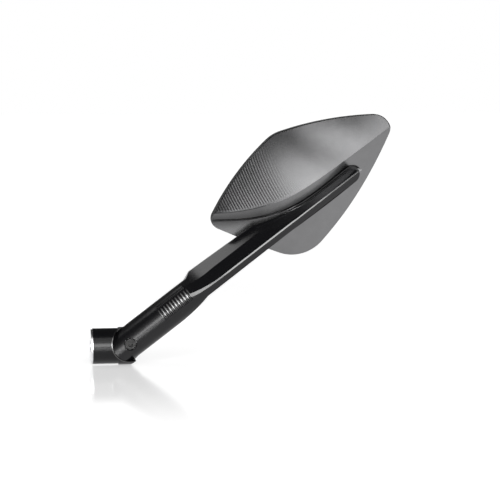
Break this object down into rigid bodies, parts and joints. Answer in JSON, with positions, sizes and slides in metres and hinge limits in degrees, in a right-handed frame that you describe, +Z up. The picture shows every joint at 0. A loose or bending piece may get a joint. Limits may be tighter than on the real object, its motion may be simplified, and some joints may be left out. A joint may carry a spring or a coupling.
{
  "type": "motorcycle mirror",
  "caption": "Motorcycle rear-view mirror: shield-shaped milled head on a ball joint, on a ribbed flat-sided arm that hinges on a round threaded foot.",
  "frame": {"origin": "centre of the foot's mounting face, on the axis of its threaded hole", "axes": "+X along the foot from the mounting face, +Z up, the glass faces +Y and the milled back faces -Y"},
  "size_m": [0.2435, 0.0352, 0.1976],
  "materials": {
    "foot_black": "satin black anodised",
    "bare_steel": "bright turned",
    "black_steel": "black oxide",
    "plain_steel": "plain",
    "friction_plastic": "matt",
    "bush_bronze": "plain",
    "arm_black": "gloss black anodised",
    "liner_nylon": "smooth",
    "seat_plastic": "smooth",
    "head_grey": "satin grey anodised, fine milled arcs",
    "tape_foam": "foam tape",
    "mirror_glass": "silvered"
  },
  "bodies": {
    "base": {"foot": "foot_black", "mount_bush": "bare_steel", "pivot_screw": "black_steel", "pivot_washer": "plain_steel", "disc_springs": "plain_steel", "friction_disc": "friction_plastic", "lock_nut": "plain_steel"},
    "arm": {"arm": "arm_black", "pivot_bush": "bush_bronze", "ball_stud": "plain_steel", "stud_washer": "plain_steel"},
    "liner": {"ball_liner": "liner_nylon"},
    "head": {"housing": "head_grey", "seat_ring": "seat_plastic", "seat_cup": "seat_plastic", "seat_spring": "plain_steel", "retainer_plate": "plain_steel", "retainer_screws": "black_steel", "glass_tape": "tape_foam", "mirror_glass": "mirror_glass"}
  },
  "joints": [
    {"name": "arm_pivot", "type": "hinge", "parent": "base", "child": "arm", "pos_m": [0.0309, 0, 0.0027], "axis": [0, -1, 0], "range_deg": [-18, 20]},
    {"name": "head_swing", "type": "hinge", "parent": "arm", "child": "liner", "pos_m": [0.19873, 0.01, 0.1256], "axis": [-0.6018, 0, 0.7986], "range_deg": [-8, 4]},
    {"name": "head_tilt", "type": "hinge", "parent": "liner", "child": "head", "pos_m": [0.19873, 0.01, 0.1256], "axis": [0.7986, 0, 0.6018], "range_deg": [-6, 6]}
  ]
}
